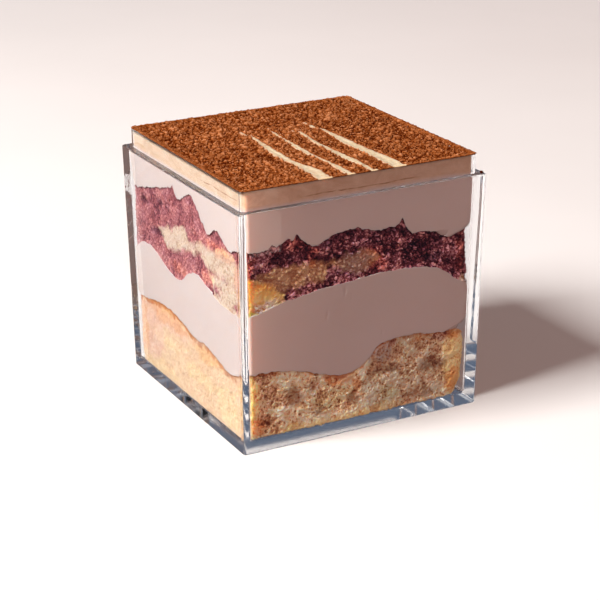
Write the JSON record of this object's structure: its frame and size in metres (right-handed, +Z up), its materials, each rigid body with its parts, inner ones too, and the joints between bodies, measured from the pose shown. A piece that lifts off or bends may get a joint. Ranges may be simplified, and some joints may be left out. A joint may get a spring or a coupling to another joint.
{
  "type": "tiramisu portion",
  "caption": "Square clear cup filled to its rim with layered sponge and cream under a fork-combed dusting of cocoa.",
  "frame": {"origin": "centre of the cup's underside, on the surface that it stands on", "axes": "+Z up; the fork's streaks run along Y and open at the -Y wall; +X to the right of that wall"},
  "size_m": [0.07, 0.07, 0.0683],
  "materials": {
    "clear_plastic": "clear, glossy moulded plastic",
    "base_sponge": "porous crumb, matte",
    "cream": "smooth, satin",
    "soaked_sponge": "wet, porous crumb",
    "cocoa_powder": "dry clumped powder, matte"
  },
  "bodies": {
    "root": {"box": "clear_plastic", "sponge_base": "base_sponge", "cream_lower": "cream", "sponge_soaked": "soaked_sponge", "cream_upper": "cream", "cocoa": "cocoa_powder"}
  },
  "joints": []
}
